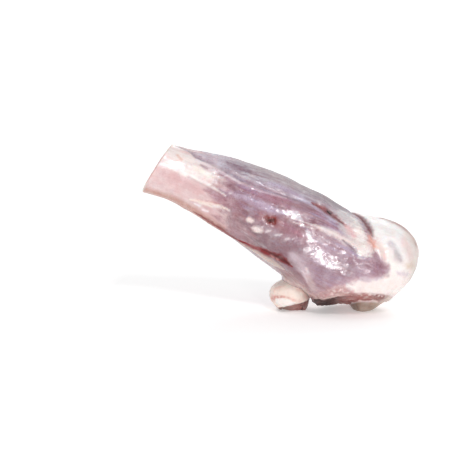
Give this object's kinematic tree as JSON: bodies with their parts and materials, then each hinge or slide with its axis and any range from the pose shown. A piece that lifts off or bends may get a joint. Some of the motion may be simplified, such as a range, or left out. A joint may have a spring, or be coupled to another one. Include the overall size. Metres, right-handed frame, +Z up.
{
  "type": "raw lamb shank",
  "caption": "Whole raw lamb shank standing on its sawn knee end, with a white fat heel, a bare bone knob under it and a slim sawn hock end raised; for cooking and food display.",
  "frame": {"origin": "on the table under the middle of the shank's footprint", "axes": "+X from the raised hock end to the heavy knee end, -Y towards the side the picture shows, +Z up"},
  "size_m": [0.2022, 0.0716, 0.1225],
  "materials": {
    "flesh": "wet raw meat: mauve muscle under thin silvery skin, white fat at the heel, brick-red where sawn",
    "bone": "moist bare bone, cream-pink, with smooth white cartilage under the knob",
    "marrow": "soft, spongy and moist, pale pink to dark red"
  },
  "bodies": {
    "root": {"flesh": "flesh", "bone": "bone", "marrow": "marrow"}
  },
  "joints": []
}
